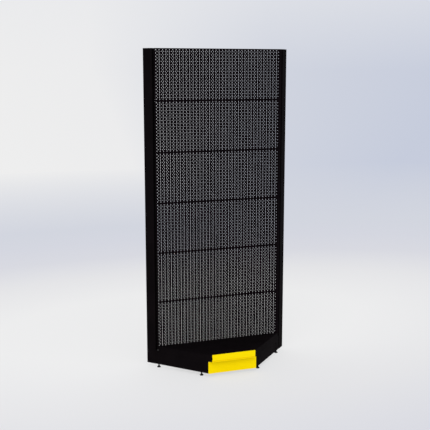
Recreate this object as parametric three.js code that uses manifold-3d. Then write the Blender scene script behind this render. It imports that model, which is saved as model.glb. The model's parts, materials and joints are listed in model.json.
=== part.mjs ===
// Inner corner bay of a gondola shelving run: a perforated back wall between two slotted
// uprights that are turned by 45 degrees, and a low base that narrows towards the front.
// Millimetres. X runs from left to right seen from the front, Y runs backwards, Z is up.
// Z = 0 is the floor. The front sheet of the back wall lies in y = 0 while it is laid out.

import * as THREE from 'three';
import { mergeVertices } from 'three/addons/utils/BufferGeometryUtils.js';
import Module from 'manifold-3d';

const wasm = await Module();
wasm.setup();

// ---- driving dimensions ----------------------------------------------------------------

const SIDE_ANGLE = Math.PI / 4;        // the two sides turn inwards by this angle
const WALL_HALF_WIDTH = 528;           // the side planes meet the front of the wall here
const PANEL_COUNT = 6;
const PANEL_PITCH = 400;
const WALL_BOTTOM = 150;
const UNIT_HEIGHT = WALL_BOTTOM + PANEL_COUNT * PANEL_PITCH;
const GAP = 0.3;                       // clearance between pieces that touch
const CLEAR_OF_FLOOR = 30;             // underside of the uprights and the base brackets
const OVERCUT = 1;                     // how far a cutting tool passes what it cuts
const ROUND_SEGMENTS = 20;
const HOLE_SEGMENTS = 12;

const PANEL_DEPTH = 20;
const PANEL_SHEET = 1;
const PANEL_HALF_WIDTH = WALL_HALF_WIDTH - 2;

const UPRIGHT_DEPTH = 80;
const UPRIGHT_WIDTH = 30;
const UPRIGHT_WALL = 1.2;
const UPRIGHT_CORNER = 2.5;
const UPRIGHT_SETBACK = 20;            // from the wall's end to the upright's slotted face
const CAP_PLATE = 2.7;
const CAP_PLUG = 16;
const CAP_PLUG_WALL = 2;
const CAP_PLUG_SETBACK = 1;            // from the bore's narrow ends to the plug

const SLOT_WIDTH = 4;
const SLOT_HEIGHT = 22;
const SLOT_PITCH = 50;
const FIRST_SLOT = 60;
const SLOT_COUNT = 50;
const SLOT_INSET = UPRIGHT_WIDTH / 2;

const ADAPTER_SHEET = 1.5;
const ADAPTER_START = 4;
const ADAPTER_BELOW_TOP = 2;
const ADAPTER_DEPTH = UPRIGHT_WIDTH - 1;
const ADAPTER_SCREW_DEPTH = 24.8;
const ADAPTER_SCREW_BELOW_TOP = 90;
const HOOK_LENGTH = 12;
const HOOK_SHEET = 2;
const HOOK_FRONT = 7;
const HOOK_BACK = 16;
const HOOK_DROP = 1;
const HOOK_CLEARANCE = 1;

const BASE_FRONT = -323;               // front face of the plinth
const DECK_FRONT = -350;
const DECK_TOP = 183;
const DECK_SHEET = 1.2;
const DECK_SKIRT = 53;
const DECK_REAR_LIP = 25;
const DECK_TO_WALL = 1.5;
const DECK_LIP_CLEARANCE = 4;          // from the rear lip's ends to the brackets
const FRONT_RETURN = 10;
const FRONT_RETURN_CLEARANCE = 2;

const BRACKET_SHEET = 3;
const BRACKET_INSET = 2;
const BRACKET_FLANGE = 27;
const BRACKET_TOP = DECK_TOP - DECK_SHEET - GAP;
const BRACKET_END = 26;
const BRACKET_HOOK_SHEET = 2.5;
const BRACKET_HOOK_HEIGHT = 14;
const BRACKET_HOOK_DROP = 8;
const BRACKET_HOOK_CLEARANCE = 0.5;    // on each side of the hook in its slot

const PLINTH_BOTTOM = 26;
const PLINTH_HALF_WIDTH = 201;
const PLINTH_HEIGHT = 100;
const PLINTH_SHEET = 1;
const PLINTH_RETURN = 14;
const PLINTH_TOP_INSET = 6;            // from the plinth's ends to those of its top return
const PLINTH_BOTTOM_INSET = 50;
const PLINTH_CLIP_X = 110;
const CLIP_SHEET = 1;
const CLIP_HALF_WIDTH = 15;
const CLIP_REACH = 9;
const CLIP_CLEARANCE = 0.5;

const RAIL_HALF_WIDTH = 179;
const RAIL_FRONT = -360;
const RAIL_BOTTOM = 131;
const RAIL_TOP = 190;
const RAIL_WALL = 1.6;
const RAIL_LOWER_LEG = 16;
const RAIL_UPPER_LEG_BOTTOM = DECK_TOP - 14;

const CROSS_RAIL_FRONTS = { front: -306, rear: -44 };
const CROSS_RAIL_SHEET = 2;
const CROSS_RAIL_BOTTOM = 40;
const CROSS_RAIL_TOP = 112;
const CROSS_RAIL_FLANGE = 22;
const CROSS_RAIL_TAB = 36;
const CROSS_RAIL_BOLT_SHARE = 0.65;    // how far along the tab its bolts are
const CROSS_RAIL_BOLT_INSET = 18;

const STIFFENER_Y = [-110, -235];
const STIFFENER_WIDTH = 20;
const STIFFENER_HEIGHT = 30;
const STIFFENER_SHEET = 1.5;
const STIFFENER_CLEARANCE = 8;         // from its ends to the brackets

const FOOT_INSET = 18;
const FOOT_POSITIONS = { rear: 0, front: -391 };
const PAD_RADIUS = 15;
const PAD_RIM_HEIGHT = 3.5;
const PAD_NECK_RADIUS = 7.5;
const PAD_HEIGHT = 14;
const PAD_SEGMENTS = 24;
const STEM_BOTTOM = 8;
const STEM_RADIUS = 5;
const STEM_TOP = 62;
const STEM_SLOT_HALF_WIDTH = 0.8;
const STEM_SLOT_DEPTH = 2;
const WELD_NUT_RADIUS = 10;
const WELD_NUT_HEIGHT = 10;
const JAM_NUT_RADIUS = 9.8;
const JAM_NUT_HEIGHT = 5;

const BRACKET_BOLT = {
  headRadius: 7.5, headHeight: 5.3, headSides: 6, shankRadius: 4, length: 16, hole: 4.3,
};
const ADAPTER_SCREW = {
  headRadius: 3.6, headHeight: 2.2, headSides: ROUND_SEGMENTS, shankRadius: 2.2, length: 12,
  hole: 2.6,
};
const RAIL_BOLT = {
  headRadius: 6, headHeight: 1.2, headSides: ROUND_SEGMENTS, shankRadius: 3, length: 12,
  hole: 3.3,
};

// ---- materials -------------------------------------------------------------------------

function finish(color, roughness, metalness) {
  return new THREE.MeshStandardMaterial({ color, roughness, metalness });
}

const blackCoat = finish(0x151113, 0.5, 0.0);
const wallCoat = finish(0x1a1618, 0.55, 0.0);
const blackPlastic = finish(0x101010, 0.6, 0.0);
const yellowCoat = finish(0xf4d202, 0.45, 0.0);
const yellowPlastic = finish(0xf9d802, 0.4, 0.0);
const zinc = finish(0x8c8f94, 0.35, 0.9);
const blackZinc = finish(0x17181a, 0.4, 0.8);
const springSteel = finish(0x6c6f74, 0.3, 0.95);

// ---- solids ----------------------------------------------------------------------------

function toSolid(geometry) {
  const bare = geometry.clone();
  bare.deleteAttribute('normal');
  bare.deleteAttribute('uv');
  const merged = mergeVertices(bare, 1e-4);
  const vertProperties = new Float32Array(merged.attributes.position.array);
  const triVerts = new Uint32Array(merged.index.array);
  return new wasm.Manifold(new wasm.Mesh({ numProp: 3, vertProperties, triVerts }));
}

function toGeometry(solid) {
  const mesh = solid.getMesh();
  const geometry = new THREE.BufferGeometry();
  geometry.setAttribute('position', new THREE.BufferAttribute(mesh.vertProperties, 3));
  geometry.setIndex(new THREE.BufferAttribute(mesh.triVerts, 1));
  geometry.computeVertexNormals();
  return geometry;
}

function join(...geometries) {
  const solids = geometries.map(toSolid);
  return toGeometry(solids.reduce((whole, piece) => whole.add(piece)));
}

function cut(geometry, ...tools) {
  const solids = tools.map(toSolid);
  return toGeometry(solids.reduce((whole, tool) => whole.subtract(tool), toSolid(geometry)));
}

// A box from its low and high corners.
function block(x0, x1, y0, y1, z0, z1) {
  const geometry = new THREE.BoxGeometry(x1 - x0, y1 - y0, z1 - z0);
  return geometry.translate((x0 + x1) / 2, (y0 + y1) / 2, (z0 + z1) / 2);
}

// A shape in the XY plane, raised from z0 to z1.
function raise(shape, z0, z1) {
  const geometry = new THREE.ExtrudeGeometry(shape, {
    depth: z1 - z0,
    bevelEnabled: false,
    curveSegments: 4,
  });
  return geometry.translate(0, 0, z0);
}

function outline(points) {
  return new THREE.Shape(points.map(([x, y]) => new THREE.Vector2(x, y)));
}

function prism(points, z0, z1) {
  return raise(outline(points), z0, z1);
}

// A closed profile in the YZ plane, drawn from -half to +half along X.
function profileAlongX(points, half) {
  const geometry = raise(outline(points), -half, half);
  return geometry.rotateY(Math.PI / 2).rotateX(Math.PI / 2);
}

function roundedRectangle(x0, x1, y0, y1, r) {
  const path = new THREE.Shape();
  path.moveTo(x0 + r, y0);
  path.lineTo(x1 - r, y0);
  path.absarc(x1 - r, y0 + r, r, -Math.PI / 2, 0);
  path.lineTo(x1, y1 - r);
  path.absarc(x1 - r, y1 - r, r, 0, Math.PI / 2);
  path.lineTo(x0 + r, y1);
  path.absarc(x0 + r, y1 - r, r, Math.PI / 2, Math.PI);
  path.lineTo(x0, y0 + r);
  path.absarc(x0 + r, y0 + r, r, Math.PI, 1.5 * Math.PI);
  return path;
}

// A round bar along Z.
function bar(radius, x, y, z0, z1, segments = ROUND_SEGMENTS) {
  const geometry = new THREE.CylinderGeometry(radius, radius, z1 - z0, segments);
  return geometry.rotateX(Math.PI / 2).translate(x, y, (z0 + z1) / 2);
}

// A bolt or screw along +Z: its head below z = 0 and its shank from there up to its length.
function bolt(kind) {
  const head = bar(kind.headRadius, 0, 0, -kind.headHeight, 0, kind.headSides);
  const shank = bar(kind.shankRadius, 0, 0, -kind.headHeight / 2, kind.length, HOLE_SEGMENTS);
  return join(head, shank);
}

// The same solid seen in a mirror across the plane y = 0.
function mirrored(geometry) {
  const copy = geometry.index ? geometry.clone() : mergeVertices(geometry, 1e-4);
  copy.scale(1, -1, 1);
  const index = copy.index.array;
  for (let i = 0; i < index.length; i += 3) {
    const first = index[i];
    index[i] = index[i + 1];
    index[i + 1] = first;
  }
  copy.computeVertexNormals();
  return copy;
}

// ---- scene graph -----------------------------------------------------------------------

const unit = new THREE.Group();
const layout = new THREE.Group();
unit.add(layout);

// Each side has a frame of its own. Its X runs along the side, backwards and outwards, from
// the wall's end. Its Y is the depth inwards from the side plane. On the left, where that
// frame would be left-handed, the solids are mirrored instead.
const sides = ['left', 'right'].map((name) => {
  const isLeft = name === 'left';
  const group = new THREE.Group();
  group.position.x = isLeft ? -WALL_HALF_WIDTH : WALL_HALF_WIDTH;
  group.rotation.z = isLeft ? Math.PI - SIDE_ANGLE : SIDE_ANGLE;
  layout.add(group);
  return { name, isLeft, group };
});

function named(name, geometry, material) {
  const mesh = new THREE.Mesh(geometry, material);
  mesh.name = name;
  return mesh;
}

function addCentre(name, geometry, material) {
  layout.add(named(name, geometry, material));
}

// Adds a solid of the side frame to both sides.
function addBothSides(name, geometry, material) {
  for (const side of sides) {
    const own = side.isLeft ? mirrored(geometry) : geometry;
    side.group.add(named(`${name}_${side.name}`, own, material));
  }
}

// Position along the side frame's X of a point in the plane y, at depth d.
function alongSide(y, d) {
  return y * Math.SQRT2 - d;
}

// Half width of the plan in the plane y, measured to depth d inside the side plane.
function halfWidth(y, d = 0) {
  return WALL_HALF_WIDTH + y - d * Math.SQRT2;
}

// ---- uprights --------------------------------------------------------------------------

const uprightFront = UPRIGHT_SETBACK;
const uprightBack = UPRIGHT_SETBACK + UPRIGHT_DEPTH;
const uprightTop = UNIT_HEIGHT - CAP_PLATE - GAP;
const slotHeights = Array.from({ length: SLOT_COUNT }, (_, i) => FIRST_SLOT + i * SLOT_PITCH);
const bracketBoltHeights = [FIRST_SLOT + SLOT_PITCH / 2, FIRST_SLOT + 1.5 * SLOT_PITCH];
const adapterScrewHeights = [
  FIRST_SLOT + 2.5 * SLOT_PITCH,
  UNIT_HEIGHT - ADAPTER_SCREW_BELOW_TOP,
];

// A hole of the side frame that runs along its X, at a depth from the side plane.
function holeAlongSide(radius, inset, z, from, to) {
  const geometry = bar(radius, 0, 0, from, to, HOLE_SEGMENTS);
  return geometry.rotateY(Math.PI / 2).translate(0, inset, z);
}

function uprightTube() {
  const w = UPRIGHT_WALL;
  const shape = roundedRectangle(uprightFront, uprightBack, 0, UPRIGHT_WIDTH, UPRIGHT_CORNER);
  const bore = roundedRectangle(uprightFront + w, uprightBack - w, w, UPRIGHT_WIDTH - w,
    UPRIGHT_CORNER - w);
  shape.holes.push(bore);
  const tube = raise(shape, CLEAR_OF_FLOOR, uprightTop);
  const faceStart = uprightFront - OVERCUT;
  const faceEnd = uprightFront + w + OVERCUT;
  const slots = slotHeights.map((z) => block(
    faceStart, faceEnd,
    SLOT_INSET - SLOT_WIDTH / 2, SLOT_INSET + SLOT_WIDTH / 2,
    z - SLOT_HEIGHT / 2, z + SLOT_HEIGHT / 2,
  ));
  const boltHoles = bracketBoltHeights.map((z) => holeAlongSide(
    BRACKET_BOLT.hole, SLOT_INSET, z, faceStart, faceEnd,
  ));
  const screwHoles = adapterScrewHeights.map((z) => holeAlongSide(
    ADAPTER_SCREW.hole, ADAPTER_SCREW_DEPTH, z, faceStart, faceEnd,
  ));
  return cut(tube, ...slots, ...boltHoles, ...screwHoles);
}

function uprightCap() {
  const plate = raise(
    roundedRectangle(uprightFront, uprightBack, 0, UPRIGHT_WIDTH, UPRIGHT_CORNER),
    UNIT_HEIGHT - CAP_PLATE, UNIT_HEIGHT,
  );
  const plugTop = UNIT_HEIGHT - CAP_PLATE / 2;
  const plugBottom = UNIT_HEIGHT - CAP_PLATE - CAP_PLUG;
  // A block inside the upright's bore, at a distance from its wide faces.
  const inBore = (inset, z0, z1) => block(
    uprightFront + inset + CAP_PLUG_SETBACK, uprightBack - inset - CAP_PLUG_SETBACK,
    inset, UPRIGHT_WIDTH - inset, z0, z1,
  );
  const plugInset = UPRIGHT_WALL + GAP;
  const plug = inBore(plugInset, plugBottom, plugTop);
  const hollow = inBore(plugInset + CAP_PLUG_WALL, plugBottom - OVERCUT,
    UNIT_HEIGHT - CAP_PLATE);
  return cut(join(plate, plug), hollow);
}

addBothSides('upright', uprightTube(), blackCoat);
addBothSides('upright_cap', uprightCap(), blackPlastic);

// ---- back wall -------------------------------------------------------------------------

function panelBottom(row) {
  return WALL_BOTTOM + row * PANEL_PITCH;
}

// Top of the hooks that carry a panel, just under its top return.
function hookTop(row) {
  return panelBottom(row) + PANEL_PITCH - GAP - PANEL_SHEET - HOOK_DROP;
}

function backPanel(row) {
  const z0 = panelBottom(row) + GAP;
  const z1 = panelBottom(row) + PANEL_PITCH - GAP;
  const w = PANEL_HALF_WIDTH;
  const s = PANEL_SHEET;
  const tray = join(
    block(-w, w, 0, s, z0, z1),
    block(-w, w, 0, PANEL_DEPTH, z0, z0 + s),
    block(-w, w, 0, PANEL_DEPTH, z1 - s, z1),
    block(-w, -w + s, 0, PANEL_DEPTH, z0, z1),
    block(w - s, w, 0, PANEL_DEPTH, z0, z1),
  );
  const slots = [-w, w].map((x) => block(
    x - s - OVERCUT, x + s + OVERCUT, HOOK_FRONT - HOOK_CLEARANCE, HOOK_BACK + HOOK_CLEARANCE,
    hookTop(row) - HOOK_SHEET - 2 * HOOK_CLEARANCE, hookTop(row) + HOOK_DROP / 2,
  ));
  return cut(tray, ...slots);
}

for (let row = 0; row < PANEL_COUNT; row += 1) {
  addCentre(`back_panel_${row + 1}`, backPanel(row), wallCoat);
}

// A folded strip. Its first leg lies beside the panels' side returns, and its second leg
// lies on the upright's slotted face, inside the row of slots. Hooks on the first leg reach
// through the side returns and carry each panel.
function cornerAdapter() {
  const s = ADAPTER_SHEET;
  const inner = PANEL_HALF_WIDTH + GAP;
  const outer = inner + s;
  const faceNear = UPRIGHT_SETBACK - GAP;
  const faceFar = faceNear - s;
  // Points of the second leg are given as distance t along the side and depth d.
  const at = (t, d) => [WALL_HALF_WIDTH + (t - d) / Math.SQRT2, (t + d) / Math.SQRT2];
  const bend = (x, t) => [x, WALL_HALF_WIDTH + t * Math.SQRT2 - x];
  const strip = prism([
    [inner, ADAPTER_START],
    [outer, ADAPTER_START],
    bend(outer, faceNear),
    at(faceNear, ADAPTER_DEPTH),
    at(faceFar, ADAPTER_DEPTH),
    bend(inner, faceFar),
  ], WALL_BOTTOM + GAP, UNIT_HEIGHT - ADAPTER_BELOW_TOP);
  const hooks = Array.from({ length: PANEL_COUNT }, (_, row) => block(
    inner - HOOK_LENGTH, inner + s / 2, HOOK_FRONT, HOOK_BACK,
    hookTop(row) - HOOK_SHEET, hookTop(row),
  ));
  const screwHoles = adapterScrewHeights.map((z) => {
    const hole = holeAlongSide(ADAPTER_SCREW.hole, ADAPTER_SCREW_DEPTH, z,
      faceFar - OVERCUT, faceNear + OVERCUT);
    return hole.rotateZ(SIDE_ANGLE).translate(WALL_HALF_WIDTH, 0, 0);
  });
  return cut(join(strip, ...hooks), ...screwHoles);
}

// The same solid on the other side of the plane x = 0.
function mirroredAcross(geometry) {
  return mirrored(geometry.clone().rotateZ(Math.PI / 2)).rotateZ(-Math.PI / 2);
}

const adapter = cornerAdapter();
addCentre('corner_adapter_left', mirroredAcross(adapter), blackCoat);
addCentre('corner_adapter_right', adapter, blackCoat);

for (const side of sides) {
  const names = ['lower', 'upper'];
  adapterScrewHeights.forEach((z, i) => {
    const name = `adapter_screw_${side.name}_${names[i]}`;
    const mesh = named(name, bolt(ADAPTER_SCREW), blackZinc);
    mesh.rotation.y = Math.PI / 2;
    const inward = side.isLeft ? -1 : 1;
    const headSeat = UPRIGHT_SETBACK - ADAPTER_SHEET - 2 * GAP;
    mesh.position.set(headSeat, inward * ADAPTER_SCREW_DEPTH, z);
    side.group.add(mesh);
  });
}

// ---- base brackets ---------------------------------------------------------------------

const bracketEndY = BASE_FRONT + 2;
const bracketRear = UPRIGHT_SETBACK - GAP;
const bracketInside = BRACKET_INSET + BRACKET_SHEET;
const crossRailBoltHeights = [
  CROSS_RAIL_BOTTOM + CROSS_RAIL_BOLT_INSET,
  CROSS_RAIL_TOP - CROSS_RAIL_BOLT_INSET,
];

// Where a cross rail's bolts pass through the bracket, as a distance along the side.
function crossRailBoltAt(place) {
  const tabStart = alongSide(CROSS_RAIL_FRONTS[place], bracketInside);
  return tabStart + CROSS_RAIL_TAB * CROSS_RAIL_BOLT_SHARE;
}

const crossRailPlaces = Object.keys(CROSS_RAIL_FRONTS);

// A plate that lies along the side between the depths d0 and d1, cut off square at the front.
function sidePlate(d0, d1, z0, z1) {
  return prism([
    [alongSide(bracketEndY, d0), d0],
    [bracketRear, d0],
    [bracketRear, d1],
    [alongSide(bracketEndY, d1), d1],
  ], z0, z1);
}

// A hook that enters a slot of the upright and drops behind its wall.
function bracketHook(z) {
  const seat = z - SLOT_HEIGHT / 2 + GAP;
  const top = seat + BRACKET_HOOK_HEIGHT;
  const half = SLOT_WIDTH / 2 - BRACKET_HOOK_CLEARANCE;
  const behind = UPRIGHT_SETBACK + UPRIGHT_WALL + GAP;
  const end = behind + BRACKET_HOOK_SHEET;
  return join(
    block(bracketRear - 1, end, SLOT_INSET - half, SLOT_INSET + half, seat, top),
    block(behind, end, SLOT_INSET - half, SLOT_INSET + half, seat - BRACKET_HOOK_DROP, top),
  );
}

// A bore across the side, at distance t along it.
function boreAcross(radius, t, z, d0, d1) {
  const geometry = bar(radius, 0, 0, d0, d1, HOLE_SEGMENTS);
  return geometry.rotateX(-Math.PI / 2).translate(t, 0, z);
}

function baseBracket() {
  const s = BRACKET_SHEET;
  const d0 = BRACKET_INSET;
  const d1 = bracketInside + BRACKET_FLANGE;
  const feet = Object.values(FOOT_POSITIONS);
  const nutTop = CLEAR_OF_FLOOR + s + WELD_NUT_HEIGHT;
  const solid = join(
    sidePlate(d0, d0 + s, CLEAR_OF_FLOOR, BRACKET_TOP),
    sidePlate(d0, d1, CLEAR_OF_FLOOR, CLEAR_OF_FLOOR + s),
    sidePlate(d0, d1, BRACKET_TOP - s, BRACKET_TOP),
    block(bracketRear - s, bracketRear, d0, d0 + BRACKET_END, CLEAR_OF_FLOOR, BRACKET_TOP),
    ...slotHeights.slice(0, 2).map(bracketHook),
    ...feet.map((t) => bar(WELD_NUT_RADIUS, t, FOOT_INSET, CLEAR_OF_FLOOR + s / 2, nutTop, 6)),
  );
  const threads = feet.map((t) => bar(STEM_RADIUS + GAP, t, FOOT_INSET,
    CLEAR_OF_FLOOR - OVERCUT, nutTop + OVERCUT));
  const boltHoles = bracketBoltHeights.map((z) => holeAlongSide(
    BRACKET_BOLT.hole, SLOT_INSET, z, bracketRear - s - OVERCUT, bracketRear + OVERCUT,
  ));
  const railHoles = crossRailPlaces.flatMap((place) => crossRailBoltHeights.map(
    (z) => boreAcross(RAIL_BOLT.hole, crossRailBoltAt(place), z, d0 - OVERCUT, d0 + s + OVERCUT),
  ));
  // Behind the deck the bracket is lower, so that it passes under the wall.
  const underWall = block(-WALL_HALF_WIDTH, WALL_HALF_WIDTH, -1, WALL_HALF_WIDTH,
    WALL_BOTTOM - GAP, DECK_TOP);
  underWall.rotateZ(-SIDE_ANGLE);
  return cut(solid, ...threads, ...boltHoles, ...railHoles, underWall);
}

addBothSides('base_bracket', baseBracket(), blackCoat);

for (const side of sides) {
  const inward = side.isLeft ? -1 : 1;
  const names = ['lower', 'upper'];
  bracketBoltHeights.forEach((z, i) => {
    const mesh = named(`bracket_bolt_${side.name}_${names[i]}`, bolt(BRACKET_BOLT), zinc);
    mesh.rotation.y = Math.PI / 2;
    mesh.position.set(bracketRear - BRACKET_SHEET - GAP, inward * SLOT_INSET, z);
    side.group.add(mesh);
  });
  crossRailPlaces.forEach((place) => crossRailBoltHeights.forEach((z, i) => {
    const name = `${place}_rail_bolt_${side.name}_${names[i]}`;
    const mesh = named(name, bolt(RAIL_BOLT), blackCoat);
    mesh.rotation.x = side.isLeft ? Math.PI / 2 : -Math.PI / 2;
    mesh.position.set(crossRailBoltAt(place), inward * (BRACKET_INSET - GAP), z);
    side.group.add(mesh);
  }));
}

// ---- levelling feet --------------------------------------------------------------------

function footPad() {
  const profile = [
    [0, 0],
    [PAD_RADIUS - 1, 0],
    [PAD_RADIUS, 1],
    [PAD_RADIUS, PAD_RIM_HEIGHT],
    [PAD_RADIUS - 2, PAD_RIM_HEIGHT + 1.5],
    [PAD_NECK_RADIUS + 0.5, PAD_HEIGHT - 5],
    [PAD_NECK_RADIUS, PAD_HEIGHT],
    [0, PAD_HEIGHT],
  ].map(([r, z]) => new THREE.Vector2(r, z));
  const lathe = new THREE.LatheGeometry(profile, PAD_SEGMENTS).rotateX(Math.PI / 2);
  const socket = bar(STEM_RADIUS + GAP, 0, 0, STEM_BOTTOM, PAD_HEIGHT + OVERCUT);
  return cut(lathe, socket);
}

function footStem() {
  const thread = bar(STEM_RADIUS, 0, 0, STEM_BOTTOM + GAP, STEM_TOP);
  const slot = block(
    -STEM_RADIUS - OVERCUT, STEM_RADIUS + OVERCUT,
    -STEM_SLOT_HALF_WIDTH, STEM_SLOT_HALF_WIDTH,
    STEM_TOP - STEM_SLOT_DEPTH, STEM_TOP + OVERCUT,
  );
  return cut(thread, slot);
}

function jamNut() {
  const z1 = CLEAR_OF_FLOOR - GAP;
  const z0 = z1 - JAM_NUT_HEIGHT;
  const hexagon = bar(JAM_NUT_RADIUS, 0, 0, z0, z1, 6);
  return cut(hexagon, bar(STEM_RADIUS + GAP, 0, 0, z0 - OVERCUT, z1 + OVERCUT));
}

for (const side of sides) {
  for (const [place, t] of Object.entries(FOOT_POSITIONS)) {
    const foot = new THREE.Group();
    foot.position.set(t, side.isLeft ? -FOOT_INSET : FOOT_INSET, 0);
    foot.add(named(`foot_pad_${place}_${side.name}`, footPad(), blackPlastic));
    foot.add(named(`foot_stem_${place}_${side.name}`, footStem(), blackZinc));
    foot.add(named(`foot_jam_nut_${place}_${side.name}`, jamNut(), blackZinc));
    side.group.add(foot);
  }
}

// ---- cross rails between the brackets --------------------------------------------------

function crossRail(place) {
  const s = CROSS_RAIL_SHEET;
  const y0 = CROSS_RAIL_FRONTS[place];
  const y1 = y0 + CROSS_RAIL_FLANGE;
  const near = bracketInside + GAP;
  const far = near + s;
  const flange = [
    [-halfWidth(y0, near), y0],
    [halfWidth(y0, near), y0],
    [halfWidth(y1, near), y1],
    [-halfWidth(y1, near), y1],
  ];
  const web = [
    [-halfWidth(y0, near), y0],
    [halfWidth(y0, near), y0],
    [halfWidth(y0 + s, near), y0 + s],
    [-halfWidth(y0 + s, near), y0 + s],
  ];
  const tabLength = CROSS_RAIL_TAB / Math.SQRT2;
  const tab = (sign) => [
    [sign * halfWidth(y0, near), y0],
    [sign * halfWidth(y0 + tabLength, near), y0 + tabLength],
    [sign * halfWidth(y0 + tabLength, far), y0 + tabLength],
    [sign * halfWidth(y0, far), y0],
  ];
  const rail = join(
    prism(web, CROSS_RAIL_BOTTOM, CROSS_RAIL_TOP),
    prism(flange, CROSS_RAIL_BOTTOM, CROSS_RAIL_BOTTOM + s),
    prism(flange, CROSS_RAIL_TOP - s, CROSS_RAIL_TOP),
    prism(tab(1), CROSS_RAIL_BOTTOM, CROSS_RAIL_TOP),
    prism(tab(-1), CROSS_RAIL_BOTTOM, CROSS_RAIL_TOP),
  );
  const holes = crossRailBoltHeights.flatMap((z) => [-1, 1].map((sign) => {
    const hole = boreAcross(RAIL_BOLT.hole, crossRailBoltAt(place), z,
      near - OVERCUT, far + OVERCUT);
    hole.rotateZ(SIDE_ANGLE).translate(WALL_HALF_WIDTH, 0, 0);
    return sign > 0 ? hole : mirroredAcross(hole);
  }));
  return cut(rail, ...holes);
}

crossRailPlaces.forEach((place) => {
  addCentre(`${place}_cross_rail`, crossRail(place), blackCoat);
});

// ---- deck ------------------------------------------------------------------------------

function deckRing(d, yFront, yRear) {
  return [
    [-halfWidth(yFront, d), yFront],
    [halfWidth(yFront, d), yFront],
    [halfWidth(yRear, d), yRear],
    [-halfWidth(yRear, d), yRear],
  ];
}

function baseDeck() {
  const s = DECK_SHEET;
  const rear = -DECK_TO_WALL;
  const under = DECK_TOP - s;
  // The rear lip ends short of the brackets.
  const lipHalf = halfWidth(rear, bracketInside + BRACKET_FLANGE) - DECK_LIP_CLEARANCE;
  const notch = (halfWidth(rear) - lipHalf) / 2 + OVERCUT;
  const skirtBottom = DECK_TOP - DECK_SKIRT;
  const tray = cut(
    prism(deckRing(GAP, DECK_FRONT, rear), skirtBottom, DECK_TOP),
    prism(deckRing(GAP + s, DECK_FRONT + s, rear - s), skirtBottom - OVERCUT, under),
    block(-halfWidth(rear), halfWidth(rear), rear - s - OVERCUT, rear + OVERCUT,
      skirtBottom - OVERCUT, DECK_TOP - DECK_REAR_LIP),
    ...[-1, 1].map((sign) => block(
      sign * (lipHalf + notch) - notch, sign * (lipHalf + notch) + notch,
      rear - s, rear + OVERCUT, skirtBottom - OVERCUT, under,
    )),
  );
  const returnHalf = halfWidth(DECK_FRONT + FRONT_RETURN, GAP + s) - FRONT_RETURN
    - FRONT_RETURN_CLEARANCE;
  const lip = block(-returnHalf, returnHalf, DECK_FRONT + s / 2, DECK_FRONT + FRONT_RETURN,
    skirtBottom, skirtBottom + s);
  return join(tray, lip);
}

addCentre('base_deck', baseDeck(), blackCoat);

// A channel under the deck, open downwards.
function stiffener(y) {
  const s = STIFFENER_SHEET;
  const top = DECK_TOP - DECK_SHEET - GAP;
  const y0 = y - STIFFENER_WIDTH / 2;
  const y1 = y + STIFFENER_WIDTH / 2;
  const half = halfWidth(y0, bracketInside + BRACKET_FLANGE) - STIFFENER_CLEARANCE;
  return join(
    block(-half, half, y0, y1, top - s, top),
    block(-half, half, y0, y0 + s, top - STIFFENER_HEIGHT, top),
    block(-half, half, y1 - s, y1, top - STIFFENER_HEIGHT, top),
  );
}

STIFFENER_Y.forEach((y, i) => {
  addCentre(`deck_stiffener_${['rear', 'front'][i]}`, stiffener(y), blackCoat);
});

// ---- price rail ------------------------------------------------------------------------

// An extruded strip that is open at the back. Its two legs lie against the deck's skirt.
function priceRail() {
  const w = RAIL_WALL;
  const back = DECK_FRONT - GAP;
  const lowerLegTop = RAIL_BOTTOM + RAIL_LOWER_LEG;
  return profileAlongX([
    [RAIL_FRONT, RAIL_BOTTOM],
    [back, RAIL_BOTTOM],
    [back, lowerLegTop],
    [back - w, lowerLegTop],
    [back - w, RAIL_BOTTOM + w],
    [RAIL_FRONT + w, RAIL_BOTTOM + w],
    [RAIL_FRONT + w, RAIL_TOP - w],
    [back - w, RAIL_TOP - w],
    [back - w, RAIL_UPPER_LEG_BOTTOM],
    [back, RAIL_UPPER_LEG_BOTTOM],
    [back, RAIL_TOP],
    [RAIL_FRONT, RAIL_TOP],
  ], RAIL_HALF_WIDTH);
}

addCentre('price_rail', priceRail(), yellowPlastic);

// ---- plinth ----------------------------------------------------------------------------

function plinth() {
  const s = PLINTH_SHEET;
  const w = PLINTH_HALF_WIDTH;
  const z0 = PLINTH_BOTTOM;
  const z1 = z0 + PLINTH_HEIGHT;
  const topHalf = w - PLINTH_TOP_INSET;
  const bottomHalf = w - PLINTH_BOTTOM_INSET;
  const back = BASE_FRONT + PLINTH_RETURN;
  return join(
    block(-w, w, BASE_FRONT, BASE_FRONT + s, z0, z1),
    block(-topHalf, topHalf, BASE_FRONT, back, z1 - s, z1),
    block(-bottomHalf, bottomHalf, BASE_FRONT, back, z0, z0 + s),
  );
}

// A spring clip behind the plinth. Its two legs grip the cross rail from above and below.
function plinthClip() {
  const s = CLIP_SHEET;
  const y0 = BASE_FRONT + PLINTH_SHEET + GAP;
  const y1 = CROSS_RAIL_FRONTS.front + CLIP_REACH;
  const low = CROSS_RAIL_BOTTOM - CLIP_CLEARANCE;
  const high = CROSS_RAIL_TOP + CLIP_CLEARANCE;
  return profileAlongX([
    [y0, low - s],
    [y1, low - s],
    [y1, low],
    [y0 + s, low],
    [y0 + s, high],
    [y1, high],
    [y1, high + s],
    [y0, high + s],
  ], CLIP_HALF_WIDTH);
}

addCentre('plinth', plinth(), yellowCoat);
for (const side of sides) {
  const clip = named(`plinth_clip_${side.name}`, plinthClip(), springSteel);
  clip.position.x = side.isLeft ? -PLINTH_CLIP_X : PLINTH_CLIP_X;
  layout.add(clip);
}

// ---- origin ----------------------------------------------------------------------------

// The unit's origin is on the floor, in the middle of its bounding box.
const rearMost = (uprightBack - UPRIGHT_CORNER + UPRIGHT_WIDTH - UPRIGHT_CORNER) / Math.SQRT2
  + UPRIGHT_CORNER;
layout.position.y = -(rearMost + RAIL_FRONT) / 2;

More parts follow.
